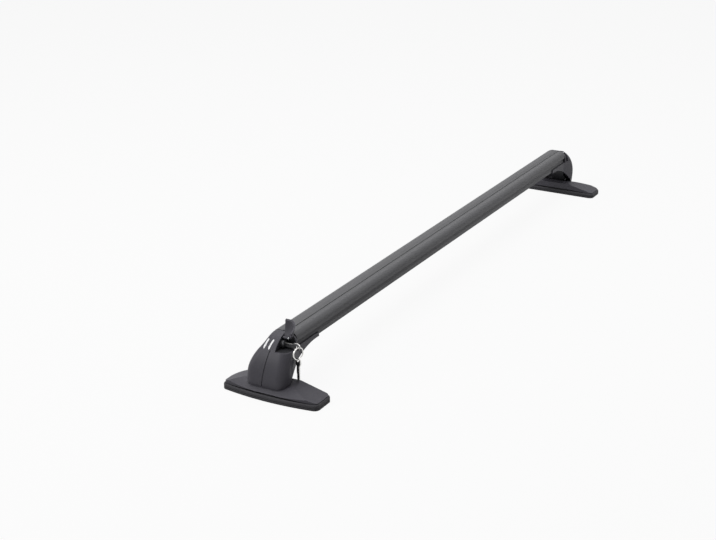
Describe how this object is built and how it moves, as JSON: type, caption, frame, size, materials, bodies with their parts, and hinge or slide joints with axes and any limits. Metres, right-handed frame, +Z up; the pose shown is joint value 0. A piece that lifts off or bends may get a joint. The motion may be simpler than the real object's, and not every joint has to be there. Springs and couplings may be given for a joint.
{
  "type": "roof rack crossbar",
  "caption": "Extruded roof rack crossbar on moulded lockable feet with rubber pads, hinged lock flaps, lock cylinders and a key on a split ring.",
  "frame": {"origin": "middle of the bar's length, on the plane of the pads' undersides", "axes": "+X along the bar towards the foot with the closed flap, +Y along the vehicle away from the locks, +Z up"},
  "size_m": [1.2, 0.168, 0.1155],
  "materials": {
    "bar_metal": "satin grey anodised",
    "strip_rubber": "matte",
    "pad_rubber": "matte",
    "black_plastic": "satin, fine grain",
    "pocket_black": "matte",
    "white_trim": "gloss",
    "zinc_steel": "bright zinc plated",
    "bracket_black": "satin black, powder coated",
    "lock_metal": "dark satin",
    "key_metal": "nickel, worn satin",
    "ring_chrome": "bright nickel"
  },
  "bodies": {
    "frame": {"crossbar": "bar_metal", "top_strip": "strip_rubber", "left_pad": "pad_rubber", "left_base_plate": "black_plastic", "left_leg_cover": "black_plastic", "left_trim_bars": "white_trim", "left_bracket": "bracket_black", "left_base_bolts": "zinc_steel", "left_base_nuts": "zinc_steel", "left_bar_bolts": "zinc_steel", "left_bar_nuts": "zinc_steel", "left_lock_housing": "pocket_black", "left_lock_barrel": "lock_metal", "left_lock_nut": "zinc_steel", "left_flap_pin": "zinc_steel", "right_pad": "pad_rubber", "right_base_plate": "black_plastic", "right_leg_cover": "black_plastic", "right_trim_bars": "white_trim", "right_bracket": "bracket_black", "right_base_bolts": "zinc_steel", "right_base_nuts": "zinc_steel", "right_bar_bolts": "zinc_steel", "right_bar_nuts": "zinc_steel", "right_lock_housing": "pocket_black", "right_lock_barrel": "lock_metal", "right_lock_nut": "zinc_steel", "right_flap_pin": "zinc_steel"},
    "left_flap": {"left_lock_flap": "black_plastic"},
    "right_flap": {"right_lock_flap": "black_plastic"},
    "left_lock": {"left_lock_plug": "lock_metal", "left_lock_cam": "zinc_steel", "lock_key": "key_metal"},
    "right_lock": {"right_lock_plug": "lock_metal", "right_lock_cam": "zinc_steel"},
    "ring": {"split_ring": "ring_chrome"},
    "spare": {"spare_key": "key_metal"}
  },
  "joints": [
    {"name": "left_flap_hinge", "type": "hinge", "parent": "frame", "child": "left_flap", "pos_m": [-0.5544, -0.009, 0.08869], "axis": [0, -1, 0], "range_deg": [0, 85]},
    {"name": "right_flap_hinge", "type": "hinge", "parent": "frame", "child": "right_flap", "pos_m": [0.5544, -0.009, 0.08869], "axis": [0, -1, 0], "range_deg": [0, 143]},
    {"name": "left_lock_turn", "type": "hinge", "parent": "frame", "child": "left_lock", "pos_m": [-0.556, 0, 0.0785], "axis": [0, -1, 0], "range_deg": [0, 90]},
    {"name": "right_lock_turn", "type": "hinge", "parent": "frame", "child": "right_lock", "pos_m": [0.556, 0, 0.0785], "axis": [0, 1, 0], "range_deg": [0, 90]},
    {"name": "ring_swing", "type": "hinge", "parent": "left_lock", "child": "ring", "pos_m": [-0.556, -0.03042, 0.07725], "axis": [-0.9511, 0.309, 0], "range_deg": [0, 70]},
    {"name": "spare_key_swing", "type": "hinge", "parent": "ring", "child": "spare", "pos_m": [-0.556, -0.03042, 0.05865], "axis": [-0.9511, 0.309, 0], "range_deg": [0, 60]}
  ]
}
